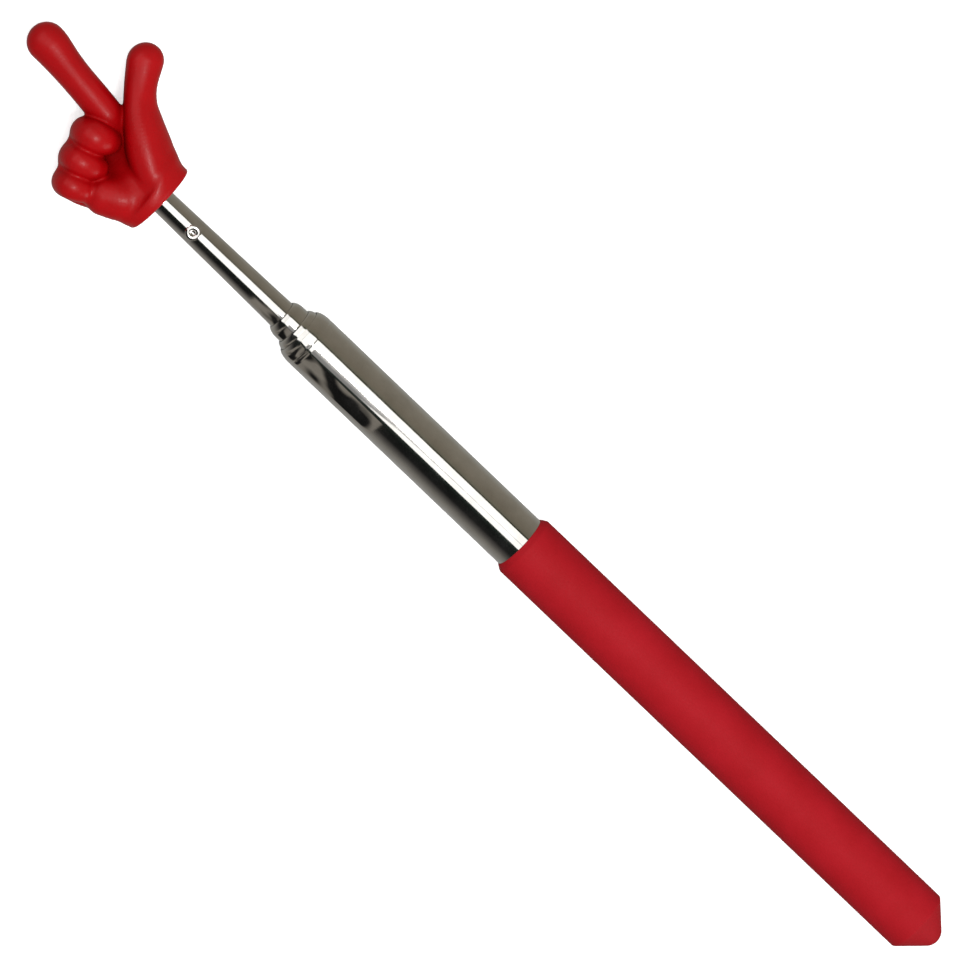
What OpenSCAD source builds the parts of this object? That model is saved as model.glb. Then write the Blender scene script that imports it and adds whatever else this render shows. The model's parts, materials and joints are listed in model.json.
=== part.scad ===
// Telescopic hand pointer, closed up: a soft hand on a tapered tip tube, which slides and turns
// in two drawn tubes and an outer tube with a soft grip sleeve. Millimetres, +Z up.
// The stick lies along X on the plane z = 0, with the hand towards +X, its palm up and its thumb
// towards -Y. The origin is below the middle of the whole pointer, hand included.
// Every place along the stick is a distance from the closed end of the grip, named ..._at.

/* [Whole pointer] */
// Length when closed, from the grip's nose to the tip of the finger
closed_len = 190; // [186:1:200]
// Height of the stick's axis above the surface that it lies on
axis_h = 5.06; // [5.06:0.01:5.2]
// Distance of the stick's axis from the middle of the hand's width
axis_y = 2.99; // [2.95:0.01:3.05]

/* [Grip sleeve] */
// Outside diameter of the sleeve
grip_d = 10.1; // [9.9:0.1:10.1]
// Length of the sleeve
grip_len = 86; // [70:1:100]
// Wall over the cone of the closed end
grip_wall = 0.75; // [0.6:0.05:0.8]
// Radius of the rounded nose
nose_r = 1.6; // [1.2:0.1:1.8]

/* [Drawn tubes] */
// How much wider each tube is than the one that slides in it
tube_step = 1.4; // [1.35:0.05:1.4]
// Distance of the outer tube's open mouth from the end of the grip
outer_mouth_at = 131; // [128:0.1:131]
// Distance of the middle tube's open mouth from the end of the grip
middle_mouth_at = 132; // [132:0.1:133]
// Distance of the inner tube's open mouth from the end of the grip
inner_mouth_at = 134.5; // [134.5:0.1:136]

/* [Tip tube] */
// Outside diameter where it is parallel
tip_d = 4.5; // [4.4:0.1:4.5]
// Outside diameter at the hand, after the taper
tip_front_d = 3.7; // [3.6:0.1:3.8]
// Wall thickness
tip_wall = 0.3; // [0.25:0.05:0.3]
// Depth that it enters the hand
tip_in_hand = 3; // [2:0.5:4]

/* [Fits] */
// Wall thickness of the three larger tubes
tube_wall = 0.35; // [0.3:0.05:0.35]
// Radial clearance of a tube in the mouth around it
mouth_gap = 0.08; // [0.06:0.01:0.1]
// Radial clearance of a running fit
run_gap = 0.05; // [0.03:0.01:0.08]
// Thickness of the friction springs
spring_t = 0.4; // [0.3:0.05:0.4]
// Gap between two pieces that stop against each other when the pointer is closed
stop_gap = 0.1; // [0.05:0.05:0.2]

/* [Hand] */
// Distance of the cuff's face from the end of the grip
cuff_at = 159; // [158:0.5:160]
// Width of the cuff
cuff_w = 11.4; // [11:0.1:11.8]
// Depth of the cuff, from the palm side to the back of the hand
cuff_depth = 10; // [9.6:0.1:10]
// Facets round each rounded form of the hand
hand_facets = 24; // [20:4:28]

/* [Rivet] */
// Distance of the rivet from the end of the grip
rivet_at = 152.5; // [149:0.1:153]
// Turn of the rivet about the stick, away from straight up
rivet_turn = 8; // [0:1:20]
// Diameter of the rivet's head
rivet_head_d = 2.5; // [2.2:0.1:2.6]

/* [Hidden] */
$fn = 96;

hand_red = [0.72, 0.09, 0.11];
grip_red = [0.69, 0.12, 0.15];
chrome = [0.78, 0.77, 0.75];
brass = [0.80, 0.64, 0.32];
bronze = [0.72, 0.48, 0.28];
steel = [0.60, 0.60, 0.60];
black = [0.12, 0.12, 0.12];

// Outside diameters of the tubes that slide in each other
inner_d = tip_d + tube_step;
middle_d = inner_d + tube_step;
outer_d = middle_d + tube_step;

// Grip and plug: both ends of the pointer are cones of 45 degrees
grip_r = grip_d / 2;
outer_r = outer_d / 2;
shoulder_at = grip_r - 0.75;          // where the grip's cone begins
cone_in_shift = grip_wall * sqrt(2);  // how far the inner cone lies behind the outer one
plug_shoulder_at = outer_r - 0.75 + cone_in_shift;
plug_tip_r = 0.6;
plug_flange = 0.4;
outer_back_at = plug_shoulder_at + plug_flange;
plug_front_at = outer_back_at + 7;

// Bores
outer_bore = outer_r - tube_wall;
middle_bore = middle_d / 2 - tube_wall;
inner_bore = inner_d / 2 - tube_wall;
tip_bore = tip_d / 2 - tip_wall;

// Stack of end bushes, from the plug towards the hand
flange = 1.1;                         // thickness of a bush's rear flange
spigot = 4;                           // how far a bush reaches into its tube
middle_groove = 6;                    // room for the friction springs behind each tube
inner_groove = 5.2;
tip_groove = 4.6;
middle_bush_at = plug_front_at + stop_gap;
middle_back_at = middle_bush_at + flange + middle_groove;
inner_bush_at = middle_back_at + spigot + stop_gap;
inner_back_at = inner_bush_at + flange + inner_groove;
tip_bush_at = inner_back_at + spigot + stop_gap;
tip_back_at = tip_bush_at + flange + tip_groove;
tip_front_at = cuff_at + tip_in_hand;
taper_from = inner_mouth_at + 0.4;

// Core pin that joins the hand to the tip tube
pin_r = 1.45;
pin_back_at = rivet_at - 3;
pin_front_at = tip_front_at + 2;
barb_r = 1.8;
rivet_r = 0.75;
proud = 0.28;                         // how far the rivet's head stands above the tube

// Radius of the tip tube at a distance from the end of the grip
function tip_r(at) = let (f = (at - taper_from) / (tip_front_at - taper_from))
    (tip_d + (tip_front_d - tip_d) * max(0, min(1, f))) / 2;

// Points of an elliptical quarter between two angles, in steps of a sixth
function quarter(c, rx, ry, a0, a1) =
    [for (i = [0 : 6]) let (a = a0 + (a1 - a0) * i / 6) [c[0] + rx * cos(a), c[1] + ry * sin(a)]];

// A solid turned about the stick's axis from an outline of [radius, distance from the grip's end]
module turned(outline) along_stick() rotate_extrude() polygon(outline);

module along_stick() translate([-closed_len / 2, axis_y, axis_h]) rotate([0, 90, 0]) children();

// A drawn tube whose mouth is rolled in to a smaller bore over roll_len. The roll is the first
// roll_arc degrees of an elliptical quarter.
module rolled_tube(r, bore, back_at, mouth_at, mouth_bore, roll_len) {
    roll_arc = 60;
    lip = 0.12;                       // width of the flat lip
    draw_in = (r - mouth_bore - lip) / (1 - cos(roll_arc));
    turned(concat(
        [[bore, back_at], [r - 0.08, back_at], [r, back_at + 0.15]],
        quarter([r - draw_in, mouth_at - roll_len], draw_in, roll_len / sin(roll_arc), 0, roll_arc),
        [[mouth_bore, mouth_at], [mouth_bore, mouth_at - roll_len * 0.45], [bore, mouth_at - roll_len]]
    ));
}

// A bush pressed into the rear end of a tube, with a groove that holds the friction springs
module end_bush(spigot_r, parent_bore, bush_at, back_at) {
    neck_r = parent_bore - run_gap * 2 - spring_t;
    flange_r = parent_bore - 0.15;
    hole_r = spigot_r * 0.45;
    turned([
        [hole_r, bush_at], [flange_r - 0.15, bush_at], [flange_r, bush_at + 0.15],
        [flange_r, bush_at + flange], [neck_r, bush_at + flange], [neck_r, back_at],
        [spigot_r, back_at], [spigot_r, back_at + spigot - 0.3], [spigot_r - 0.2, back_at + spigot],
        [hole_r, back_at + spigot]
    ]);
}

// Half of a split friction spring; up is 1 for the half on the palm side and -1 for the other
module spring_half(parent_bore, bush_at, back_at, up) {
    out_r = parent_bore - run_gap;
    in_r = out_r - spring_t;
    end_gap = 0.12;
    bow = 0.08;                       // how far the spring's ends draw in from its middle
    from = bush_at + flange + end_gap;
    to = back_at - end_gap;
    split = 12;                       // angle of each gap between the halves
    along_stick() rotate([0, 0, up > 0 ? 180 : 0]) rotate([0, 0, -90 + split / 2])
        rotate_extrude(angle = 180 - split) polygon([
            [in_r, from], [out_r - bow, from], [out_r, from + (to - from) * 0.3],
            [out_r, to - (to - from) * 0.3], [out_r - bow, to], [in_r, to]
        ]);
}

// ---- Handle ----

module grip() color(grip_red) turned(concat(
    [[0, 0]],
    [for (i = [1 : 4]) let (a = 45 * i / 4) [nose_r * sqrt(2) * sin(a), nose_r * sqrt(2) * (1 - cos(a))]],
    [[grip_r - 0.25, shoulder_at - 0.25], [grip_r, shoulder_at + 0.2],
     [grip_r, grip_len - 0.85], [grip_r - 0.55, grip_len], [outer_r, grip_len],
     [outer_r, plug_shoulder_at], [plug_tip_r, plug_shoulder_at - outer_r + plug_tip_r],
     [0, plug_shoulder_at - outer_r + plug_tip_r]]
));

module end_plug() color(black) turned([
    [0, plug_shoulder_at - outer_r + plug_tip_r], [plug_tip_r, plug_shoulder_at - outer_r + plug_tip_r],
    [outer_r, plug_shoulder_at], [outer_r, outer_back_at], [outer_bore, outer_back_at],
    [outer_bore, plug_front_at - 0.4], [outer_bore - 0.4, plug_front_at], [0, plug_front_at]
]);

module outer_tube() color(chrome) {
    groove_at = outer_mouth_at - 2.3;
    difference() {
        rolled_tube(outer_r, outer_bore, outer_back_at, outer_mouth_at, middle_d / 2 + mouth_gap, 2);
        // Fine line where the rolled mouth begins
        along_stick() translate([0, 0, groove_at]) rotate_extrude()
            translate([outer_r + 0.02, 0]) circle(r = 0.08, $fn = 24);
    }
}

// ---- Middle section ----

module middle_tube() color(chrome)
    rolled_tube(middle_d / 2, middle_bore, middle_back_at, middle_mouth_at, inner_d / 2 + mouth_gap, 1.3);

module middle_end_bush() color(brass) end_bush(middle_bore, outer_bore, middle_bush_at, middle_back_at);

module middle_spring_upper() color(bronze) spring_half(outer_bore, middle_bush_at, middle_back_at, 1);

module middle_spring_lower() color(bronze) spring_half(outer_bore, middle_bush_at, middle_back_at, -1);

// ---- Inner section ----

module inner_tube() color(chrome)
    rolled_tube(inner_d / 2, inner_bore, inner_back_at, inner_mouth_at, tip_d / 2 + mouth_gap, 1.5);

module inner_end_bush() color(brass) end_bush(inner_bore, middle_bore, inner_bush_at, inner_back_at);

module inner_spring_upper() color(bronze) spring_half(middle_bore, inner_bush_at, inner_back_at, 1);

module inner_spring_lower() color(bronze) spring_half(middle_bore, inner_bush_at, inner_back_at, -1);

// ---- Tip section ----

module rivet_axis() translate([rivet_at - closed_len / 2, axis_y, axis_h]) rotate([-rivet_turn, 0, 0]) children();

module tip_tube() color(chrome) difference() {
    turned([
        [tip_bore, tip_back_at], [tip_d / 2, tip_back_at], [tip_d / 2, taper_from], [tip_front_d / 2, tip_front_at],
        [tip_front_d / 2 - tip_wall, tip_front_at], [tip_bore, taper_from]
    ]);
    rivet_axis() cylinder(r = rivet_r + run_gap, h = tip_d * 2, center = true);
}

module tip_end_bush() color(brass) end_bush(tip_bore, inner_bore, tip_bush_at, tip_back_at);

module tip_spring_upper() color(bronze) spring_half(inner_bore, tip_bush_at, tip_back_at, 1);

module tip_spring_lower() color(bronze) spring_half(inner_bore, tip_bush_at, tip_back_at, -1);

// Tubular rivet: a ring-shaped head on the palm side and a low rolled one on the back
module tip_rivet() color(chrome) difference() {
    head_r = rivet_head_d / 2;
    top = tip_r(rivet_at) + proud;
    union() {
        difference() {
            rivet_axis() for (turn = [0, 180]) rotate([turn, 0, 0]) translate([0, 0, top]) mirror([0, 0, 1])
                rotate_extrude() polygon(concat(
                    [[0, 0]], quarter([head_r - 0.35, 0.35], 0.35, 0.35, -90, 0), [[head_r, 1.2], [0, 1.2]]));
            // The heads are seated on the tapered tube
            turned([[0, taper_from], [tip_r(taper_from) + 0.01, taper_from],
                [tip_r(tip_front_at) + 0.01, tip_front_at], [0, tip_front_at]]);
        }
        rivet_axis() cylinder(r = rivet_r, h = (top - 0.1) * 2, center = true);
    }
    // Crater of the tubular end
    rivet_axis() translate([0, 0, top - 0.55]) rotate_extrude()
        polygon([[0, 0], [0.3, 0], [0.55, 0.56], [0, 0.56]]);
}

module hand_core_pin() color(steel) difference() {
    turned([
        [0, pin_back_at], [pin_r - 0.3, pin_back_at], [pin_r, pin_back_at + 0.3],
        [pin_r, tip_front_at + 0.4], [barb_r, tip_front_at + 0.6], [pin_r, tip_front_at + 1.4],
        [pin_r, pin_front_at - 0.4], [pin_r - 0.4, pin_front_at], [0, pin_front_at]
    ]);
    rivet_axis() cylinder(r = rivet_r + run_gap, h = tip_d * 2, center = true);
}

// ---- Hand ----
// Places in the hand are [forward of the cuff, towards the little finger, up from the stick's axis].

module in_hand() translate([cuff_at - closed_len / 2, axis_y, axis_h]) children();

module ball(p, r) translate(p) sphere(r = r, $fn = hand_facets);

// A rounded form through balls given as [place, radius]
module blend(balls) hull() for (b = balls) ball(b[0], b[1]);

// A finger curled into the palm, at v across the hand
module curled_finger(v, knuckle_u, reach, r) {
    low = r - axis_h;
    high = 4.9 - r;
    blend([[[knuckle_u, v - 0.3, low], r], [[reach - r, v, low + 0.3], r], [[reach - r - 0.2, v, high - 0.6], r]]);
    blend([[[reach - r - 0.2, v, high - 0.6], r], [[reach - r - 1.6, v, high], r],
           [[knuckle_u + 0.6, v - 0.2, high - 0.5], r * 0.95]]);
}

module hand() color(hand_red) difference() {
    in_hand() {
        // Cuff
        translate([0, 0, (cuff_depth / 2 - axis_h)]) scale([1, cuff_w / cuff_depth, 1]) rotate([0, 90, 0])
            rotate_extrude($fn = 48) polygon([
                [0, 0], [cuff_depth / 2 - 0.15, 0], [cuff_depth / 2, 0.15], [cuff_depth / 2 - 0.25, 1.7],
                [cuff_depth / 2 - 0.6, 2.6], [0, 2.6]]);
        // Index finger, pointing
        blend([[[28.07, -5.15, -2.05], 2.95], [[21.8, -4.4, -1], 2.5], [[14, -3.45, -0.4], 2.45]]);
        blend([[[14, -3.45, -0.4], 2.45], [[7.5, -2.2, -1.7], 2.6]]);
        // Thumb, raised
        blend([[[15.4, -13.2, -0.9], 2.6], [[13.6, -10.1, -0.5], 2.4], [[11.6, -7.8, -0.2], 2.5]]);
        blend([[[11.6, -7.8, -0.2], 2.5], [[7.6, -4.9, 0.6], 3.2], [[3.4, -2.1, 1.2], 3.3]]);
        // Palm, its heel and the back of the hand
        blend([[[2.6, 2.4, -0.6], 3.6], [[2.6, -1.8, -0.6], 3.6], [[8, -2.4, -2.1], 2.8], [[11, 0, -2.4], 2.6],
               [[9.6, 6, -2.6], 2.2], [[5, 4.6, -1.4], 3.2]]);
        blend([[[2.8, 2.4, 0.2], 3.5], [[6.2, 5, 0.3], 3.1], [[9.8, 5.2, 0.5], 1.8], [[5.6, -0.6, -0.7], 3.1]]);
        // Middle, ring and little fingers
        curled_finger(0.4, 10.3, 17, 2.3);
        curled_finger(4.2, 9.4, 15.7, 2.15);
        curled_finger(7.67, 8.3, 13.9, 2.15);
    }
    // Socket of the tip tube and the core pin
    along_stick() translate([0, 0, cuff_at - 1])
        cylinder(r = tip_front_d / 2 + run_gap * 2, h = pin_front_at - cuff_at + 1 + stop_gap, $fn = 48);
    // The hand ends at the cuff's face
    along_stick() translate([0, 0, cuff_at - 10]) cylinder(r = cuff_w, h = 10);
}

hand();
hand_core_pin();
tip_rivet();
tip_tube();
tip_end_bush();
tip_spring_upper();
tip_spring_lower();
inner_tube();
inner_end_bush();
inner_spring_upper();
inner_spring_lower();
middle_tube();
middle_end_bush();
middle_spring_upper();
middle_spring_lower();
outer_tube();
end_plug();
grip();
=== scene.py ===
"""Telescopic hand pointer, closed up and lying palm up. The CAD model gives the tip tube and everything
inside. This script makes finer forms of the soft hand, the grip sleeve, the three drawn tubes and the
rivet, and gives every surface its material. Lengths are in metres unless a name ends in _MM or _mm."""

import json
import math

import bpy
import numpy as np
from mathutils import Matrix, Vector


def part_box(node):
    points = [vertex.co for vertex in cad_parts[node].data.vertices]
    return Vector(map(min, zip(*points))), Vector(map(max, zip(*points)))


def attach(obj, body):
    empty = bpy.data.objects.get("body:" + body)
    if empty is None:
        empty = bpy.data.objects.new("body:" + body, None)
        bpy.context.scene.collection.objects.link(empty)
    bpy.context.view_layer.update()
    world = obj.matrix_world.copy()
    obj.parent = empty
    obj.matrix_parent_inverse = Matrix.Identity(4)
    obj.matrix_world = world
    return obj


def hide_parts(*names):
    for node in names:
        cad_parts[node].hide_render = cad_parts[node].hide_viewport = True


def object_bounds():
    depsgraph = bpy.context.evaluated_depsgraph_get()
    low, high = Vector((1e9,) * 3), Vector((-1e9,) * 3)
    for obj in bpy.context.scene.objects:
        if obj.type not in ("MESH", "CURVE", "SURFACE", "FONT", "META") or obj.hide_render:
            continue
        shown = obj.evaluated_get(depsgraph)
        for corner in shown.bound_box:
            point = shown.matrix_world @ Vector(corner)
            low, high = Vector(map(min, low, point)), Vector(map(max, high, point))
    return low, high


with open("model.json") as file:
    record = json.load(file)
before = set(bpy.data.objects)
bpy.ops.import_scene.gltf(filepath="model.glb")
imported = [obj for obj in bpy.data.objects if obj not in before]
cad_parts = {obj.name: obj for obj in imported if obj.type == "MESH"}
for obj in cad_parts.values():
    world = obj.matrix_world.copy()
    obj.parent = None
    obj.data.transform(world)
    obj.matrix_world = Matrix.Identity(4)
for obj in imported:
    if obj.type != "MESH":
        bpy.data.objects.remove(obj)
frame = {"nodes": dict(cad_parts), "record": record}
cad_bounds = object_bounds()
MM = 0.001

# ---- Places, all from the frame ----

grip_low, grip_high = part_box("grip")
AXIS_Y = (grip_low.y + grip_high.y) / 2      # the stick's axis
AXIS_Z = (grip_low.z + grip_high.z) / 2
CUFF_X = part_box("hand")[0].x                 # the cuff's face
FLOOR_Z = cad_bounds[0].z
STICK = Vector((0, AXIS_Y, AXIS_Z))          # a point on the axis
frame_slots = {part["node"]: part["material_slot"] for part in frame["record"]["subparts"]}

# ---- Small dimensions that the CAD parts share, in millimetres ----

TUBE_WALL_MM = 0.35
MOUTH_GAP_MM = 0.08                # clearance of a tube in the mouth around it
MOUTH_LIP_MM = 0.12                # width of a mouth's flat lip
MOUTH_TURN = 60                    # degrees that a mouth's wall is rolled in
NOSE_MM = 1.6                      # half width of the round end of the grip's cone
RIVET_TOP_MM = 2.25                # height of the rivet's head above the axis
RIVET_TURN = 8                     # degrees that the rivet is turned about the stick

# ---- Camera ----

TILT = math.radians(9.5)           # the camera stands this far off plumb, towards the hand
ROLL = math.radians(43.7)          # the stick's slope in the picture
VIEW_WIDTH = 0.1414                # width of the picture at the stick
LENS_MM, SENSOR_MM = 600, 36
TARGET = Vector((0.00051, AXIS_Y - 0.00254, AXIS_Z))     # what the middle of the picture shows

to_camera = Vector((math.sin(TILT), 0, math.cos(TILT)))


def make_camera():
    along = Vector((math.cos(TILT), 0, -math.sin(TILT)))
    across = Vector((0, 1, 0))
    right = -math.cos(ROLL) * along - math.sin(ROLL) * across
    up = math.sin(ROLL) * along - math.cos(ROLL) * across
    data = bpy.data.cameras.new("camera")
    data.lens = LENS_MM
    data.sensor_width = SENSOR_MM
    distance = VIEW_WIDTH * LENS_MM / SENSOR_MM
    data.clip_start, data.clip_end = distance * 0.1, distance * 4
    camera = bpy.data.objects.new("camera", data)
    turn = Matrix((right, up, to_camera)).transposed().to_4x4()
    camera.matrix_world = Matrix.Translation(TARGET + to_camera * distance) @ turn
    bpy.context.scene.collection.objects.link(camera)
    bpy.context.scene.camera = camera


# ---- Material nodes ----

class Tree:
    """Adds nodes to a node tree and joins them up."""

    def __init__(self, tree):
        self.tree = tree

    def add(self, kind, **sockets):
        node = self.tree.nodes.new(kind)
        for key, value in sockets.items():
            self.put(node.inputs[key.replace("_", " ")], value)
        return node

    def put(self, socket, value):
        """Gives a socket a value, or links it when the value is another node's output."""
        if isinstance(value, bpy.types.NodeSocket):
            self.tree.links.new(value, socket)
        else:
            socket.default_value = value

    def spread(self, value, low, high, at=(0.3, 0.7)):
        """Maps value from the range at to low..high."""
        node = self.add("ShaderNodeMapRange")
        for socket, number in zip(("From Min", "From Max", "To Min", "To Max"), (*at, low, high)):
            self.put(node.inputs[socket], number)
        self.put(node.inputs["Value"], value)
        return node.outputs["Result"]


class Nodes(Tree):
    """One node material with a Principled shader; texture coordinates are the piece's own, in metres."""

    def __init__(self, name):
        self.material = bpy.data.materials.new(name)
        self.material.use_nodes = True
        super().__init__(self.material.node_tree)
        self.shader = self.tree.nodes["Principled BSDF"]
        self.place = self.add("ShaderNodeTexCoord").outputs["Object"]

    def noise(self, per_m, detail=4.0, roughness=0.55, stretch=None):
        place = self.place
        if stretch:
            place = self.add("ShaderNodeMapping", Vector=place, Scale=stretch).outputs["Vector"]
        node = self.add("ShaderNodeTexNoise", Vector=place, Scale=per_m, Detail=detail, Roughness=roughness)
        return node.outputs["Fac"]

    def between(self, factor, low, high):
        """Mixes two colours; the second may be a socket."""
        node = self.tree.nodes.new("ShaderNodeMix")
        node.data_type = "RGBA"
        self.put(node.inputs[0], factor)
        self.put(node.inputs[6], (*low, 1))
        self.put(node.inputs[7], high if isinstance(high, bpy.types.NodeSocket) else (*high, 1))
        return node.outputs[2]

    def bump(self, *layers):
        """Each layer is (height, distance in metres); they are stacked."""
        normal = None
        for height, distance in layers:
            node = self.add("ShaderNodeBump", Height=height, Distance=distance, Strength=1.0)
            if normal:
                self.put(node.inputs["Normal"], normal)
            normal = node.outputs["Normal"]
        self.put(self.shader.inputs["Normal"], normal)

    def surface(self, **sockets):
        for key, value in sockets.items():
            self.put(self.shader.inputs[key.replace("_", " ")], value)
        return self.material


CREASE_REACH = 0.005               # how far round a place the ambient occlusion looks for the painted crease shade


def hand_material():
    """Soft red vinyl with painted shade: ambient occlusion darkens the base colour in the creases between
    the fingers and cuts their shine there.
    """
    n = Nodes("hand_vinyl")
    fine = n.noise(5200, 5)
    crease_occlusion = n.add("ShaderNodeAmbientOcclusion", Distance=CREASE_REACH)
    crease_occlusion.samples = 12
    crease_occlusion.only_local = True
    # Painted shade: where the occlusion finds close surfaces, the base colour goes towards a dark red and
    # the shine is lowered
    crease_shade_mix = n.spread(crease_occlusion.outputs["AO"], 0, 1, (0.36, 0.86))
    shine = n.spread(crease_occlusion.outputs["AO"], 0.01, 0.17, (0.7, 0.98))
    colour = n.between(n.spread(n.noise(260, 3), 0, 1), (0.275, 0.0008, 0.002), (0.308, 0.0014, 0.003))
    n.bump((fine, 0.000012), (n.noise(900, 2), 0.00003))
    return n.surface(Base_Color=n.between(crease_shade_mix, (0.17, 0.0005, 0.001), colour),
                     Roughness=n.spread(fine, 0.27, 0.34), Specular_IOR_Level=shine)


def grip_material():
    n = Nodes("grip_vinyl")
    cloud = n.noise(180, 4)
    grain = n.noise(3800, 6, 0.6)
    colour = n.between(n.spread(cloud, 0, 1), (0.262, 0.0025, 0.006), (0.292, 0.004, 0.009))
    n.bump((grain, 0.00004), (n.noise(700, 2), 0.00005))
    return n.surface(Base_Color=colour, Roughness=n.spread(grain, 0.55, 0.72), Specular_IOR_Level=0.1)


def chrome_material():
    n = Nodes("chrome_plate")
    draw = n.noise(2500, 3, 0.5, (0.04, 1, 1))
    haze = n.noise(300, 4)
    n.bump((draw, 0.000002))
    colour = n.between(n.spread(haze, 0, 1), (0.62, 0.60, 0.57), (0.72, 0.70, 0.67))
    return n.surface(Base_Color=colour, Metallic=1.0, Roughness=n.spread(haze, 0.05, 0.11))


def metal_material(name, low, high, rough, stretch):
    n = Nodes(name)
    turn = n.noise(3000, 4, 0.6, stretch)
    n.bump((turn, 0.000006))
    colour = n.between(n.spread(n.noise(700, 3), 0, 1), low, high)
    return n.surface(Base_Color=colour, Metallic=1.0, Roughness=n.spread(turn, rough - 0.06, rough + 0.08))


def plug_material():
    n = Nodes("plug_plastic")
    grain = n.noise(2500, 4)
    colour = n.between(n.spread(n.noise(400, 2), 0, 1), (0.012, 0.012, 0.013), (0.022, 0.022, 0.023))
    n.bump((grain, 0.00002))
    return n.surface(Base_Color=colour, Roughness=n.spread(grain, 0.45, 0.6))


# ---- Hand: smoothly blended forms, meshed where their field is zero ----
# Places in the hand are in millimetres: forward of the cuff, towards the little finger, up from the axis.

HAND_BLOCK_MM = ((-0.8, -16.6, -6.0), (31.8, 11.0, 6.4))     # corners of the block that holds the hand
CUFF_WIDE_MM, CUFF_HIGH_MM = 5.76, 4.98                      # the cuff's half width and half height
CUFF_LONG_MM = 2.0                                           # its length on the axis
SEAM_SLOPE = 0.125                                           # the cuff is longer on the thumb's side
SOCKET_RADIUS_MM, SOCKET_DEPTH_MM = 1.95, 5.1                # the hole for the tip tube
GROUND_MM = (FLOOR_Z - AXIS_Z) / MM                          # how high the floor lies from the axis


def smooth_min(a, b, reach):
    h = np.maximum(reach - np.abs(a - b), 0) / reach
    return np.minimum(a, b) - h * h * reach / 4


def smooth_max(a, b, reach):
    return -smooth_min(-a, -b, reach)


def spline(balls, parts):
    """Points on a smooth curve through balls, parts to each stretch; radius varies along with place."""
    balls = np.array(balls, float)
    ends = np.concatenate([[2 * balls[0] - balls[1]], balls, [2 * balls[-1] - balls[-2]]])
    out = []
    for a, b, c, d in zip(ends, ends[1:], ends[2:], ends[3:]):
        for t in np.arange(parts) / parts:
            out.append(0.5 * (2 * b + (c - a) * t + (2 * a - 5 * b + 4 * c - d) * t ** 2
                              + (3 * b - a - 3 * c + d) * t ** 3))
    return np.array(out + [balls[-1]])


def limb(p, *balls, parts=6):
    """Distance to a limb of varying thickness along a curve through (forward, across, up, radius)."""
    field = np.inf
    points = spline(balls, parts if len(balls) > 2 else 1)
    for first, last in zip(points, points[1:]):
        a, way = first[:3], last[:3] - first[:3]
        t = np.clip((p - a) @ way / (way @ way), 0, 1)
        gap = np.linalg.norm(p - a - t[..., None] * way, axis=-1)
        field = np.minimum(field, gap - (first[3] + (last[3] - first[3]) * t))
    return field


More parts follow.
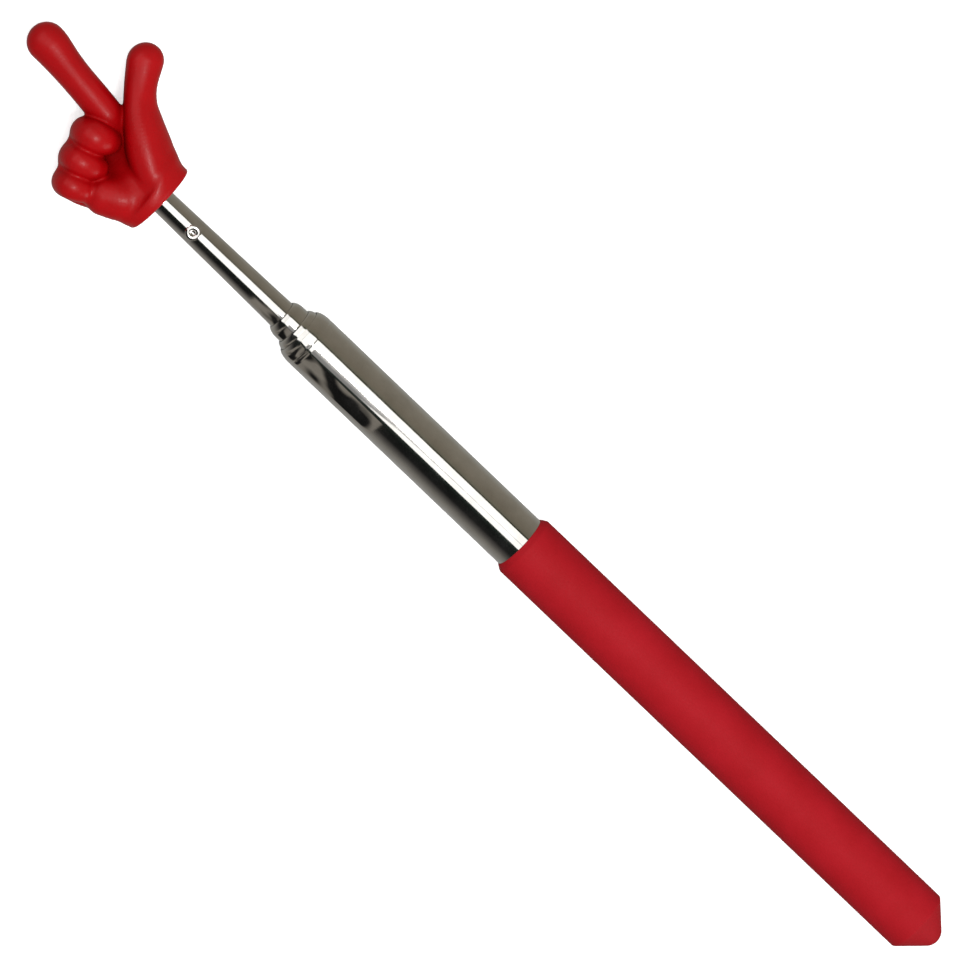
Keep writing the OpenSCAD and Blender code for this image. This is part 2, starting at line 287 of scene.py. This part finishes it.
def hand_field(p):
    """Signed distance in millimetres to the hand's surface, negative inside."""
    u, v, w = p[..., 0], p[..., 1], p[..., 2]
    index = limb(p, (27.75, -5.1, -2.1, 2.93), (25.6, -4.87, -1.75, 2.72), (21.8, -4.4, -1.0, 2.45),
                 (17.2, -3.9, -0.5, 2.42), (14.0, -3.45, -0.35, 2.45), (11.0, -2.9, -1.5, 2.35),
                 (7.5, -2.2, -1.7, 2.6))
    pad = limb(p, (26.6, -5.4, -1.2, 2.1), (23.4, -4.8, -0.45, 1.6), (19, -4.1, 0.1, 1.6),
               (14.5, -3.6, 0.4, 1.6))
    index = smooth_min(index, pad, 1.0)
    thumb = limb(p, (15.5, -13.2, -1.0, 2.5), (13.7, -10.1, -0.6, 2.32), (11.65, -7.85, -0.3, 2.45),
                 (9.4, -6.1, -0.1, 2.95), (7.5, -4.85, 0, 3.3), (5.7, -3.75, 0, 3.5), (3.0, -2.0, -0.2, 3.4))
    ridge = limb(p, (15.8, -12.5, -0.2, 1.7), (13.6, -9.5, 0.8, 1.3), (11.7, -6.9, 1.8, 1.5),
                 (9.0, -4.85, 2.4, 2.0), (6.4, -3.2, 2.55, 2.25), (3.9, -1.8, 2.6, 2.2),
                 (2.2, -1.1, 2.5, 1.9))
    thumb = smooth_min(thumb, ridge, 2.2)
    heel = limb(p, (2.8, 2.6, -0.1, 3.45), (4.4, 3.9, 0.4, 3.3), (6.4, 5.2, 0.3, 3.0))
    palm = limb(p, (0, 0, -0.1, 4.8), (3.2, 0.4, -0.6, 3.8), (5.5, 0.4, -1.4, 3.05), (8.8, 0.2, -2.6, 2.5))
    palm = smooth_min(palm, limb(p, (3.0, 0.5, -0.5, 3.5), (7.8, 4.2, -2.2, 2.5)), 1.2)
    palm = smooth_min(smooth_min(palm, heel, 1.0), thumb, 0.7)
    middle = limb(p, (5.5, -0.8, -2.7, 2.3), (12.6, 0.3, -2.2, 2.5), (14.6, 0.4, -0.4, 2.45),
                  (13.9, 0.2, 1.9, 2.45), (12.6, -0.3, 1.6, 2.35), (11.7, -0.8, 0.9, 2.1))
    ring = limb(p, (4.8, 1.6, -2.0, 2.7), (11.6, 3.9, -2.3, 2.35), (13.45, 4.25, -0.5, 2.25),
                (12.8, 4.15, 1.8, 2.15), (11.3, 3.7, 1.6, 2.1), (10.2, 3.2, 0.9, 1.9))
    little = limb(p, (4.2, 3.6, -1.7, 2.7), (8.2, 6.5, -1.4, 2.2), (10.2, 7.3, -2.0, 2.15),
                  (11.65, 7.6, -0.7, 2.2), (11.2, 7.55, 1.4, 2.05), (10.0, 7.1, 1.3, 1.95),
                  (9.0, 6.6, 0.7, 1.85))
    knuckles = limb(p, (14.2, 0.8, -0.9, 2.25), (13.8, 2.2, -0.9, 2.2), (13.3, 4.2, -0.9, 2.2),
                    (12.4, 5.7, -0.9, 2.1), (11.7, 7.3, -0.9, 2.15))
    fist = smooth_min(smooth_min(middle, ring, 0.7), little, 0.7)
    fist = smooth_min(fist, knuckles, 0.5)
    body = smooth_min(smooth_min(palm, fist, 0.6), index, 0.6)
    seam = CUFF_LONG_MM - 0.3 - SEAM_SLOPE * v
    body = smooth_max(body, seam - u, 0.8)
    rim = np.sqrt((v / CUFF_WIDE_MM) ** 2 + ((w + 0.05) / CUFF_HIGH_MM) ** 2)
    cuff = smooth_max((rim - 1) * 5.2, u - seam - 0.3, 0.5)
    body = smooth_max(smooth_min(body, cuff, 1.7), -u, 0.4)
    body = smooth_max(body, GROUND_MM - w, 0.2)
    socket = np.maximum(np.sqrt(v * v + w * w) - SOCKET_RADIUS_MM, u - SOCKET_DEPTH_MM)
    return np.maximum(body, -socket)


def sample_near_surface(field, low, high, step, coarse=5, batch=200000):
    """Field values on a grid: exact near the surface, coarse away from it, where only the sign matters."""
    blocks = np.ceil((np.array(high) - low) / (step * coarse)).astype(int)
    middles = [low[i] + step * coarse * (np.arange(blocks[i]) + 0.5) for i in range(3)]
    rough = field(np.stack(np.meshgrid(*middles, indexing="ij"), -1))
    value = rough.astype(np.float32).repeat(coarse, 0).repeat(coarse, 1).repeat(coarse, 2)
    near = np.abs(rough) < step * coarse * 1.3
    cells = np.stack(np.meshgrid(*[np.arange(coarse)] * 3, indexing="ij"), -1).reshape(-1, 3)
    where = (np.argwhere(near)[:, None] * coarse + cells).reshape(-1, 3)
    for some in np.array_split(where, max(1, len(where) // batch)):
        value[some[:, 0], some[:, 1], some[:, 2]] = field(low + step * (some + 0.5))
    return value


def mesh_of_field(field, low, high, step):
    """Surface nets: one vertex in each cell that the surface crosses, moved onto the surface."""
    value = sample_near_surface(field, low, high, step)
    inside = value < 0
    cells = tuple(n - 1 for n in value.shape)
    total = np.zeros((*cells, 3), np.float32)
    crossings = np.zeros(cells, np.float32)

    # Each cell's vertex is the mean of the places where the surface crosses the cell's edges
    for axis in range(3):
        others = [a for a in range(3) if a != axis]
        for da in (0, 1):
            for db in (0, 1):
                start = [slice(0, n) for n in cells]
                start[others[0]] = slice(da, da + cells[others[0]])
                start[others[1]] = slice(db, db + cells[others[1]])
                stop = list(start)
                stop[axis] = slice(1, 1 + cells[axis])
                a, b = value[tuple(start)], value[tuple(stop)]
                crossed = inside[tuple(start)] != inside[tuple(stop)]
                t = np.where(crossed, a / np.where(crossed, a - b, 1), 0)
                total[..., axis] += t
                total[..., others[0]] += da * crossed
                total[..., others[1]] += db * crossed
                crossings += crossed
    active = crossings > 0
    number = np.full(cells, -1)
    number[active] = np.arange(active.sum())
    where = np.argwhere(active)
    points = low + step * (where + 0.5 + total[active] / crossings[active][:, None])

    # A quad joins the four cells round each edge that is crossed, and faces outward
    faces = []
    for axis in range(3):
        a, b = (axis + 1) % 3, (axis + 2) % 3
        first = [slice(1, n) for n in cells]
        first[axis] = slice(0, cells[axis])
        second = list(first)
        second[axis] = slice(1, cells[axis] + 1)
        first_in, second_in = inside[tuple(first)], inside[tuple(second)]
        for outward, hit in ((1, first_in & ~second_in), (-1, ~first_in & second_in)):
            at = np.argwhere(hit)
            at[:, a] += 1
            at[:, b] += 1
            quad = []
            for da, db in ((-1, -1), (0, -1), (0, 0), (-1, 0))[::outward]:
                cell = at.copy()
                cell[:, a] += da
                cell[:, b] += db
                quad.append(number[cell[:, 0], cell[:, 1], cell[:, 2]])
            faces.append(np.stack(quad, 1))
    faces = np.concatenate(faces)

    # The vertices are moved along the field's slope until they lie on the surface
    small = step * 0.05
    for _ in range(3):
        slope = np.stack([field(points + small * axis) - field(points - small * axis)
                          for axis in np.eye(3)], 1) / (2 * small)
        steepness = np.maximum((slope ** 2).sum(1), 0.25)
        points = points - np.clip(field(points), -step, step)[:, None] * slope / steepness[:, None]
    return points, faces


def new_object(name, points, faces, material):
    mesh = bpy.data.meshes.new(name)
    mesh.from_pydata([tuple(p) for p in points], [], [tuple(int(i) for i in f) for f in faces])
    mesh.validate()
    mesh.materials.append(material)
    mesh.shade_smooth()
    piece = bpy.data.objects.new(name, mesh)
    bpy.context.scene.collection.objects.link(piece)
    return piece


def make_hand():
    step_mm = 0.16
    low_mm, high_mm = np.array(HAND_BLOCK_MM)
    points, faces = mesh_of_field(hand_field, low_mm, high_mm, step_mm)
    points = points * MM + np.array([CUFF_X, AXIS_Y, AXIS_Z])
    hand = new_object("soft_hand", points, faces, hand_material())
    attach(hand, "tip_section")
    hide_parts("hand")


# ---- Turned pieces: the sleeve, the drawn tubes and the rivet ----

TURNS = 160                        # facets round a turned piece

# Half outline of the fine line round a tube: place from the line's middle, depth
LINE_MM = ((-0.12, 0), (-0.05, 0.04), (0.05, 0.04), (0.12, 0))
# Chamfer at the sleeve's mouth: back from the mouth's face, in from the sleeve's surface
GRIP_MOUTH_MM = ((1.05, 0), (0.85, 0.04), (0.7, 0.13), (0.14, 0.48), (0.04, 0.56), (0, 0.64))
SHOULDER_MM = 0.6                  # radius of the round shoulder behind the sleeve's cone
RIVET_RING_MM = 0.42               # half width of the rounded ring of the rivet's head


def turned(name, outline, material, body, node):
    """A closed solid turned about Z from (height, radius) points; it may start and end on the axis."""
    points, rings, faces = [], [], []
    for height, radius in outline:
        count = TURNS if radius > 0 else 1
        rings.append(range(len(points), len(points) + count))
        angles = [2 * math.pi * i / count for i in range(count)]
        points += [(radius * math.cos(a), radius * math.sin(a), height) for a in angles]
    closed = outline[0][1] > 0
    for first, second in zip(rings, rings[1:] + rings[:1] if closed else rings[1:]):
        for i in range(TURNS):
            a, b = first[i % len(first)], first[(i + 1) % len(first)]
            c, d = second[(i + 1) % len(second)], second[i % len(second)]
            faces.append(tuple(dict.fromkeys((a, b, c, d))))
    piece = new_object(name, points, faces, material)
    piece.data.set_sharp_from_angle(angle=math.radians(32))
    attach(piece, body)
    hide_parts(node)
    return piece


def radius_of(node):
    """Half the width, across the stick, of a round CAD node."""
    low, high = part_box(node)
    return (high.y - low.y) / 2


def along_stick(piece):
    """Lays a turned piece along the stick: its heights become places in X."""
    piece.data.transform(Matrix.Translation((0, AXIS_Y, AXIS_Z)) @ Matrix.Rotation(math.pi / 2, 4, "Y"))


def arc(middle, radii, start, end, parts=10):
    """Points (height, radius) on an elliptical arc; angles in degrees from the radial direction."""
    angles = [math.radians(start + (end - start) * i / parts) for i in range(parts + 1)]
    return [(middle[0] + radii[0] * math.sin(a), middle[1] + radii[1] * math.cos(a)) for a in angles]


def make_tube(node, body, inner_radius, roll_mm, line_at_mm=None):
    """A drawn tube whose mouth is rolled in, over roll_mm, round the tube inside it, which has
    inner_radius; line_at_mm is how far behind the mouth a fine line runs round it."""
    low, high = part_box(node)
    radius = radius_of(node)
    lip = inner_radius + (MOUTH_GAP_MM + MOUTH_LIP_MM) * MM
    mouth_bore = inner_radius + MOUTH_GAP_MM * MM
    bore = radius - TUBE_WALL_MM * MM
    roll = roll_mm * MM
    drop = (radius - lip) / (1 - math.cos(math.radians(MOUTH_TURN)))
    reach = roll / math.sin(math.radians(MOUTH_TURN))
    curve = arc((high.x - roll, radius - drop), (reach, drop), 0, MOUTH_TURN)
    straight = [(low.x + 0.5 * MM, radius), (high.x - roll - 1 * MM, radius)]
    if line_at_mm:
        middle = high.x - line_at_mm * MM
        straight += [(middle + place * MM, radius - depth * MM) for place, depth in LINE_MM]
    outline = [(low.x, bore), (low.x, radius - 0.08 * MM), (low.x + 0.15 * MM, radius), *straight, *curve,
               (high.x, mouth_bore), (high.x - roll * 0.45, mouth_bore), (high.x - roll, bore)]
    along_stick(turned(f"drawn_{node}", outline, looks["tubes"], body, node))


def make_grip():
    """The vinyl sleeve: a round nose, a 45 degree cone and the plain sleeve, with a bore for the tube
    and its plug."""
    low, high = grip_low, grip_high
    radius = radius_of("grip")
    bore = radius_of("outer_tube")
    cap = NOSE_MM * MM * math.sqrt(2)
    shoulder_round = SHOULDER_MM * MM
    shoulder = (low.x + radius - 0.45 * MM, radius - shoulder_round)
    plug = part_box("end_plug")[0].x
    outline = [*arc((low.x + cap, 0), (cap, cap), -90, -45, 8),
               *arc(shoulder, (shoulder_round, shoulder_round), -45, 0, 6),
               *((high.x - back * MM, radius - inward * MM) for back, inward in GRIP_MOUTH_MM),
               (high.x, bore), (plug + bore - 0.6 * MM, bore), (plug, 0.6 * MM), (plug, 0)]
    along_stick(turned("grip_sleeve", outline, looks["grip"], "handle", "grip"))


def make_rivet():
    """Tubular rivet: a rounded ring of a head on each side, turned a little about the stick."""
    low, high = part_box("tip_rivet")
    top = RIVET_TOP_MM
    head = [(top - 0.34, 0), (top - 0.33, 0.14), (top - 0.29, 0.26)]
    head += [(top - 0.3 + 0.3 * math.sin(a), 0.78 - RIVET_RING_MM * math.cos(a))
             for a in (math.radians(25 + 155 * i / 14) for i in range(15))]
    head += [(1.4, 1.2), (1.4, 0.75)]
    outline = [(h * MM, r * MM) for h, r in head + [(-h, r) for h, r in reversed(head)]]
    rivet = turned("rivet", outline, looks["tubes"], "tip_section", "tip_rivet")
    rivet.data.transform(Matrix.Translation(((low.x + high.x) / 2, AXIS_Y, AXIS_Z))
                         @ Matrix.Rotation(math.radians(-RIVET_TURN), 4, "X"))


# ---- Light and floor ----

def area_light(name, place, target, size, power):
    data = bpy.data.lights.new(name, "AREA")
    data.shape = "RECTANGLE"
    data.size, data.size_y = size
    data.energy = power
    lamp = bpy.data.objects.new(name, data)
    lamp.location = place
    lamp.rotation_mode = "QUATERNION"
    lamp.rotation_quaternion = (Vector(target) - Vector(place)).to_track_quat("-Z", "Y")
    bpy.context.scene.collection.objects.link(lamp)


def glossy_only(piece):
    """A card that shows in reflections and nowhere else."""
    piece.visible_camera = piece.visible_diffuse = piece.visible_shadow = False


def glow_material(name):
    """An emission material and its Nodes; the caller sets the colour."""
    n = Nodes(name)
    n.tree.nodes.remove(n.shader)
    n.shader = n.add("ShaderNodeEmission")
    n.tree.links.new(n.shader.outputs[0], n.tree.nodes["Material Output"].inputs["Surface"])
    return n


def round_stick(angle):
    """Direction at an angle round the stick's axis from straight up, towards the little finger's side."""
    return Vector((0, math.sin(math.radians(angle)), math.cos(math.radians(angle))))


def make_floor():
    half = 3.0
    corners = [(x * half, y * half, FLOOR_Z) for x, y in ((-1, -1), (1, -1), (1, 1), (-1, 1))]
    n = Nodes("floor_paper")
    fibre = n.noise(900, 4)
    n.bump((fibre, 0.00002))
    colour = n.between(n.spread(fibre, 0, 1), (0.86, 0.86, 0.86), (0.88, 0.88, 0.88))
    n.surface(Base_Color=colour, Roughness=0.9, Emission_Color=(1, 1, 1, 1), Emission_Strength=0.45)
    floor = new_object("floor", corners, [(0, 1, 2, 3)], n.material)
    floor.visible_glossy = floor.visible_diffuse = False


def make_lamps():
    """A wide light above with a small bright core, and one low behind the grip's end."""
    under_key = STICK + Vector((0.02, 0, 0))
    area_light("key", under_key + round_stick(-1) * 0.5, under_key, size=(0.55, 0.48), power=1.3)
    area_light("core", STICK + Vector((0, 0, 0.49)), STICK, size=(0.1, 0.1), power=0.8)
    grip_end = Vector((grip_low.x, AXIS_Y, AXIS_Z))
    area_light("tail", grip_end + Vector((-0.5, 0, 0.13)), grip_end, size=(0.3, 0.3), power=1.2)


def make_patchy_card():
    """Beside the mouths of the tubes, towards the little finger's side."""
    n = glow_material("patchy_card")
    patch = n.spread(n.noise(220, 1, 0.4, (1, 0.22, 0.22)), 0, 1, (0.42, 0.56))
    n.surface(Color=n.between(patch, (0.01, 0.01, 0.01), (0.25, 0.232, 0.205)))
    stations = [(0.0155, 34, 104), (0.042, 28, 112)]
    glossy_only(wedge("patchy_card", stations, 0.022, n.material))


def make_grey_card():
    """Narrows to a thin line across the light, towards the grip."""
    n = glow_material("grey_card")
    side = n.add("ShaderNodeSeparateXYZ", Vector=n.place).outputs["Y"]
    fade = n.spread(side, 0, 1, (AXIS_Y + 0.002, AXIS_Y + 0.022))
    n.surface(Color=n.between(fade, (0.8, 0.8, 0.8), (0.3, 0.3, 0.3)))
    stations = [(-0.03, 1, 2.4), (-0.006, 2, 5), (0.006, 3, 10), (0.013, 3.5, 26), (0.024, 3, 28),
                (0.032, 10, 28)]
    glossy_only(wedge("grey_card", stations, 0.07, n.material))


def make_front_card():
    """White, in front of the hand, for the mouths of the tubes and the fingertips."""
    n = glow_material("front_card")
    n.surface(Color=n.between(n.noise(20, 2), (0.95, 0.95, 0.95), (1, 1, 1)), Strength=1.5)
    places = ((0.3, -0.24, 0.49), (0.3, 0.24, 0.49), (0.5, 0.2, 0.2), (0.5, -0.2, 0.2))
    corners = [STICK + Vector(place) for place in places]
    glossy_only(new_object("front_card", corners, [(0, 1, 2, 3)], n.material))


def wedge(name, stations, distance, material):
    """A card curved round the stick; each station is (x, first angle, last angle)."""
    parts = 8
    points = [STICK + Vector((x, 0, 0)) + round_stick(a + (b - a) * i / parts) * distance
              for x, a, b in stations for i in range(parts + 1)]
    faces = [(k + i, k + i + 1, k + i + parts + 2, k + i + parts + 1)
             for k in range(0, (len(stations) - 1) * (parts + 1), parts + 1) for i in range(parts)]
    return new_object(name, points, faces, material)


# What the chrome reflects of the room, by angle round the stick from straight up: grey on both sides,
# black beside the light on the little finger's side
ROOM = ((-180, (0.26, 0.26, 0.25)), (-150, (0.345, 0.345, 0.317)), (-110, (0.26, 0.24, 0.2)),
        (-50, (0.207, 0.182, 0.142)), (-35, (0.175, 0.163, 0.125)), (-31, (0.05, 0.055, 0.035)),
        (26, (0.02, 0.03, 0.025)), (40, (0.008, 0.01, 0.009)), (66, (0.012, 0.012, 0.012)),
        (84, (0.09, 0.085, 0.08)), (110, (0.24, 0.23, 0.21)), (150, (0.36, 0.36, 0.345)),
        (180, (0.26, 0.26, 0.25)))


def make_world():
    """White light, dimmer from below; mirrored surfaces see the dim room instead."""
    world = bpy.data.worlds.new("studio")
    world.use_nodes = True
    n = Tree(world.node_tree)
    place = n.add("ShaderNodeTexCoord").outputs["Generated"]
    split = n.add("ShaderNodeSeparateXYZ", Vector=place)

    even = n.tree.nodes["Background"]
    n.put(even.inputs["Color"], (1, 1, 1, 1))
    n.put(even.inputs["Strength"], n.spread(split.outputs["Z"], 0.2, 0.86, (-0.3, 0.05)))

    angle = n.add("ShaderNodeMath")
    angle.operation = "ARCTAN2"
    n.put(angle.inputs[0], split.outputs["Y"])
    n.put(angle.inputs[1], split.outputs["Z"])
    turn = n.spread(angle.outputs[0], 0, 1, (-math.pi, math.pi))
    ramp = n.add("ShaderNodeValToRGB", Fac=turn)
    stops = ramp.color_ramp.elements
    for degrees, colour in ROOM[1:-1]:
        stops.new((degrees + 180) / 360).color = (*colour, 1)
    stops[0].color = (*ROOM[0][1], 1)
    stops[-1].color = (*ROOM[-1][1], 1)
    dim = n.add("ShaderNodeBackground", Color=ramp.outputs["Color"])

    mix = n.add("ShaderNodeMixShader")
    n.put(mix.inputs[0], n.add("ShaderNodeLightPath").outputs["Is Glossy Ray"])
    n.put(mix.inputs[1], even.outputs[0])
    n.put(mix.inputs[2], dim.outputs[0])
    n.put(n.tree.nodes["World Output"].inputs["Surface"], mix.outputs[0])
    bpy.context.scene.world = world


# ---- The whole scene ----

make_camera()
looks = {                          # by the record's material slot
    "tubes": chrome_material(),
    "grip": grip_material(),
    "plug": plug_material(),
    "bushes": metal_material("turned_brass", (0.72, 0.5, 0.2), (0.8, 0.58, 0.26), 0.3, (1, 0.1, 0.1)),
    "springs": metal_material("spring_bronze", (0.62, 0.34, 0.17), (0.7, 0.42, 0.22), 0.35, (0.1, 1, 1)),
    "core_pin": metal_material("turned_steel", (0.42, 0.42, 0.43), (0.52, 0.52, 0.53), 0.33, (1, 0.1, 0.1)),
}
for name, node in frame["nodes"].items():
    if frame_slots[name] in looks:
        node.data.materials[0] = looks[frame_slots[name]]
make_hand()
make_grip()
make_tube("inner_tube", "inner_section", radius_of("tip_tube"), roll_mm=1.5)
make_tube("middle_tube", "middle_section", radius_of("inner_tube"), roll_mm=1.3)
make_tube("outer_tube", "handle", radius_of("middle_tube"), roll_mm=2.0, line_at_mm=2.3)
make_rivet()
make_floor()
make_lamps()
make_patchy_card()
make_grey_card()
make_front_card()
make_world()
bpy.context.scene.view_settings.view_transform = "Standard"
